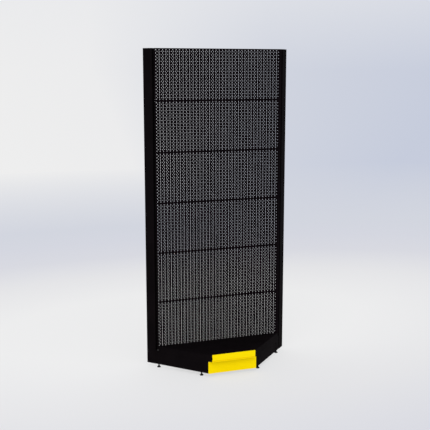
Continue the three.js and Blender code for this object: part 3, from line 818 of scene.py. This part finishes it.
def bracket_bolt_head(height):
    """A hexagon head on its washer."""
    washer_height = 1 * MM
    head = hex_head(across_flats=12.9 * MM, height=height - washer_height)
    return joined(washer(inner=4.2 * MM, outer=7.4 * MM, height=washer_height),
                  placed(head, Matrix.Translation((0, 0, washer_height))))


def fasteners():
    bolt_height, screw_height, rail_bolt_height = 5.3 * MM, 2.2 * MM, 1.2 * MM
    bolt_head = bracket_bolt_head(bolt_height)
    screw_head = socket_head(radius=3.6 * MM, height=screw_height, socket=2.5 * MM)
    rail_bolt_head = socket_head(radius=6 * MM, height=rail_bolt_height, socket=3.5 * MM)
    for side in SIDES:
        for level in ("lower", "upper"):
            fastener(f"bracket_bolt_{side}_{level}", backwards(side), bolt_head, bolt_height,
                     shank=4 * MM, pitch=1.25 * MM, slot="zinc")
            fastener(f"adapter_screw_{side}_{level}", backwards(side), screw_head, screw_height,
                     shank=2.2 * MM, pitch=0.8 * MM, slot="black_zinc")
            for place in PLACES:
                fastener(f"{place}_rail_bolt_{side}_{level}", inwards(side), rail_bolt_head,
                         rail_bolt_height, shank=3 * MM, pitch=1 * MM, slot="black_coat")


# ---- levelling feet ---------------------------------------------------------------------

def pad_profile():
    """Half the section of a foot pad: a rim on the floor, a flare up to the neck, and the socket
    that the stem stands in."""
    rim, neck, height = 15 * MM, 7.3 * MM, 14 * MM
    socket, socket_bottom = 5.3 * MM, 8 * MM
    sole, sole_edge, sole_rise = rim - 2.5 * MM, rim - 0.6 * MM, 0.2 * MM
    rim_low, rim_high, neck_break = 1.2 * MM, 3.2 * MM, 0.5 * MM
    flare_low, flare_rise, flare_steps = 4.1 * MM, 8.6 * MM, 10
    flare = []
    for step in range(flare_steps + 1):
        share = step / flare_steps
        reach = neck + (sole_edge - neck) * (1 - share) ** 3
        flare.append((reach, flare_low + flare_rise * share))
    return [(sole, 0), (sole_edge, sole_rise), (rim, rim_low), (rim, rim_high), *flare,
            (neck, height - neck_break), (neck - neck_break, height),
            (socket, height), (socket, socket_bottom)]


def feet():
    up = (0, 0, 1)
    for side in SIDES:
        for place in PLACES:
            pad, stem, nut = (f"foot_{part}_{place}_{side}" for part in ("pad", "stem", "jam_nut"))
            matrix, _ = axis_frame(pad, up)
            body = placed(turned(pad_profile()), matrix)
            make_piece(f"{pad}_moulded", *body, pad, "black_plastic")
            matrix, length = axis_frame(stem, up)
            body = placed(threaded(radius=5 * MM, pitch=1.5 * MM, low=0, high=length), matrix)
            make_piece(f"{stem}_threaded", *body, stem, "black_zinc")
            matrix, length = axis_frame(nut, up)
            body = placed(hex_nut(across_flats=17 * MM, bore=5.25 * MM, height=length), matrix)
            make_piece(f"{nut}_chamfered", *body, nut, "black_zinc")


# ---- CAD nodes that stay ----------------------------------------------------------------

# Material slot, width of the rounded edges, whether that width gives way, and nodes. The finely
# cut nodes would lose nearly all of it, so they have a width that fits their shortest edges.
KEPT = [
    ("black_coat", 0.3 * MM, True, ["base_bracket_left", "base_bracket_right",
                                    "front_cross_rail", "deck_stiffener_front",
                                    "deck_stiffener_rear"]),
    ("black_coat", 0.12 * MM, False, ["corner_adapter_left", "corner_adapter_right",
                                      "rear_cross_rail"]),
    ("black_coat", 0.08 * MM, False, ["upright_left", "upright_right"]),
    ("black_plastic", 0.6 * MM, True, ["upright_cap_left", "upright_cap_right"]),
    ("spring_steel", 0.25 * MM, True, ["plinth_clip_left", "plinth_clip_right"]),
]


KEPT_MERGE_GAP = 0.005 * MM
FLAT_ANGLE = math.radians(0.5)   # faces that meet at less than this are one flat
FLAT_WEIGHT = 60                 # above the neutral 50, so that large faces count a little more


def keep_cad_nodes():
    """CAD nodes whose shape is right get a material, and modifiers that round their edges."""
    for slot, width, gives_way, nodes in KEPT:
        for node in nodes:
            piece = frame["nodes"][node]
            for holder in piece.material_slots:
                holder.material = LOOKS[slot]
            weld = piece.modifiers.new("one_surface", "WELD")
            weld.merge_threshold = KEPT_MERGE_GAP
            flats = piece.modifiers.new("whole_flats", "DECIMATE")
            flats.decimate_type = "DISSOLVE"
            flats.angle_limit = FLAT_ANGLE
            round_edges(piece, width, gives_way)
            shading = piece.modifiers.new("shading", "WEIGHTED_NORMAL")
            shading.weight = FLAT_WEIGHT


# ---- floor, light and camera ------------------------------------------------------------

FAR_TONES = (srgb(238, 238, 238), srgb(236, 236, 237), srgb(208, 212, 223), srgb(198, 204, 220))
FAR_START, FAR_END = -0.05, 0.6          # where the tones start and end, as a share of east


def direction_tones(paint, direction):
    """The studio's tones by compass direction, paler to the west and cooler to the east."""
    flat = paint.nodes.new("ShaderNodeVectorMath")
    flat.operation = "MULTIPLY"
    flat.inputs[1].default_value = (1, 1, 0)
    paint.links.new(direction, flat.inputs[0])
    unit = paint.nodes.new("ShaderNodeVectorMath")
    unit.operation = "NORMALIZE"
    paint.links.new(flat.outputs["Vector"], unit.inputs[0])
    parts = paint.nodes.new("ShaderNodeSeparateXYZ")
    paint.links.new(unit.outputs["Vector"], parts.inputs["Vector"])
    share = paint.between(parts.outputs["X"], 0.0, 1.0, FAR_START, FAR_END)
    return paint.colours(share, *FAR_TONES, start=0.0, end=1.0)


# The floor's tones paint a pool of light round the unit, palest near it.
POOL_MIDDLE = (0, 1.2, 0)
POOL_STRETCH = (1.8, 1, 1)               # the painted pool of light round the unit is wider than deep
POOL_TONES = (srgb(238, 238, 238), srgb(230, 230, 232), srgb(218, 219, 226), srgb(214, 216, 225),
              srgb(212, 215, 224))
POOL_NEAR, POOL_FAR = 1.0, 4.6
POOL_FADE = (4.8, 12.0)                  # from the pool's tones to those of the far studio
FLOOR_GLOW = 0.75                        # the share of the pool's light that the floor paints as its own glow
FLOOR_REACH = 400.0                      # far enough to meet the sky close to eye level


def floor():
    """A wide pale floor that glows with painted light, so that shadows on it are faint.
    Its painted pool of light is brightest round the unit, and fades into the studio behind it."""
    mesh = bpy.data.meshes.new("studio_floor")
    corners = [(-1, -1), (1, -1), (1, 1), (-1, 1)]
    points = [(x * FLOOR_REACH, y * FLOOR_REACH, 0) for x, y in corners]
    mesh.from_pydata(points, [], [(0, 1, 2, 3)])
    plane = bpy.data.objects.new("studio_floor", mesh)
    bpy.context.scene.collection.objects.link(plane)
    paint = Finish("studio_floor_paint", 0.9, specular=0.0)
    span = paint.nodes.new("ShaderNodeVectorMath")
    span.operation = "DISTANCE"
    span.inputs[1].default_value = POOL_MIDDLE
    paint.links.new(paint.mapped(POOL_STRETCH), span.inputs[0])
    distance = span.outputs["Value"]
    pool = paint.colours(paint.between(distance, 0.0, 1.0, POOL_NEAR, POOL_FAR), *POOL_TONES,
                         start=0.0, end=1.0)
    far = direction_tones(paint, paint.place)
    fade = paint.between(distance, 0.0, 1.0, *POOL_FADE)
    tones = paint.mixed(fade, pool, far)
    paint.set("Base Color", tones)
    # Painted light: the floor glows with its own tones, though it is no lamp.
    glow = paint.nodes.new("ShaderNodeEmission")
    paint.links.new(tones, glow.inputs["Color"])
    blend = paint.nodes.new("ShaderNodeMixShader")
    paint.links.new(paint.between(fade, FLOOR_GLOW, 1.0, 0.0, 1.0), blend.inputs["Fac"])
    paint.links.new(paint.shader.outputs["BSDF"], blend.inputs[1])
    paint.links.new(glow.outputs["Emission"], blend.inputs[2])
    paint.links.new(blend.outputs["Shader"], paint.nodes["Material Output"].inputs["Surface"])
    paint.material.cycles.emission_sampling = "NONE"
    mesh.materials.append(paint.material)


class Studio(Finish):
    """The same node tools, on the world."""

    def __init__(self):
        world = bpy.data.worlds.new("studio")
        bpy.context.scene.world = world
        world.use_nodes = True
        self.nodes = world.node_tree.nodes
        self.links = world.node_tree.links
        self.shader = self.nodes["Background"]
        self.place = self.nodes.new("ShaderNodeTexCoord").outputs["Generated"]


SKY_TONE = srgb(232, 233, 236)
SKY_RISE = (0.0, 0.17)                   # where the sky turns to its own tone, as a share of up


def sky():
    """A pale light from all round. It has the far floor's tones at eye level, and its own
    tone higher up."""
    studio = Studio()
    parts = studio.nodes.new("ShaderNodeSeparateXYZ")
    studio.links.new(studio.place, parts.inputs["Vector"])
    height = studio.between(parts.outputs["Z"], 0.0, 1.0, *SKY_RISE)
    around = direction_tones(studio, studio.place)
    studio.set("Color", studio.mixed(height, around, SKY_TONE))


CEILING_POWER = 0.35
CEILING_SPREAD = math.radians(70)

# Name, place, the point it is aimed at, width and power in watts.
SOFTBOXES = [
    ("key_softbox", (-3.0, -4.0, 4.5), (0, 0, 1.2), 2.5, 50),
    ("front_softbox", (-1.0, -6.0, 1.4), (0, 0, 0.4), 3.0, 45),
]


def ceiling_light():
    """A wide, weak light from straight above, which the whole floor catches."""
    data = bpy.data.lights.new("ceiling_glow", "SUN")
    data.energy = CEILING_POWER
    data.angle = CEILING_SPREAD
    light = bpy.data.objects.new("ceiling_glow", data)
    bpy.context.scene.collection.objects.link(light)


def soft_light(name, place, aim, size, power):
    """A square soft light."""
    data = bpy.data.lights.new(name, "AREA")
    data.shape = "SQUARE"
    data.size = size
    data.energy = power
    light = bpy.data.objects.new(name, data)
    light.location = place
    light.rotation_euler = (Vector(aim) - Vector(place)).to_track_quat("-Z", "Y").to_euler()
    bpy.context.scene.collection.objects.link(light)


CAMERA_PLACE = (-2.005, -5.729, 2.378)
CAMERA_TURN = math.radians(18.54)        # to the right of straight ahead
CAMERA_PITCH = math.radians(9.55)        # downwards
CAMERA_LENS = 65.3
CAMERA_SENSOR = 36.0
CAMERA_SHIFT = -0.03                     # so that the camera tilts a degree less to frame the unit
CAMERA_REACH = 500


def camera():
    data = bpy.data.cameras.new("camera")
    data.lens = CAMERA_LENS
    data.sensor_width = CAMERA_SENSOR
    data.shift_y = CAMERA_SHIFT
    data.clip_end = CAMERA_REACH
    view = bpy.data.objects.new("camera", data)
    view.location = CAMERA_PLACE
    view.rotation_euler = (QUARTER - CAMERA_PITCH, 0, -CAMERA_TURN)
    bpy.context.scene.collection.objects.link(view)
    bpy.context.scene.camera = view


# ---- the whole scene --------------------------------------------------------------------

for panel_node in PANEL_NODES:
    back_panel(panel_node)
base_deck()
plinth()
price_rail()
fasteners()
feet()
keep_cad_nodes()
floor()
sky()
ceiling_light()
for softbox in SOFTBOXES:
    soft_light(*softbox)
camera()
bpy.context.scene.view_settings.view_transform = "Standard"
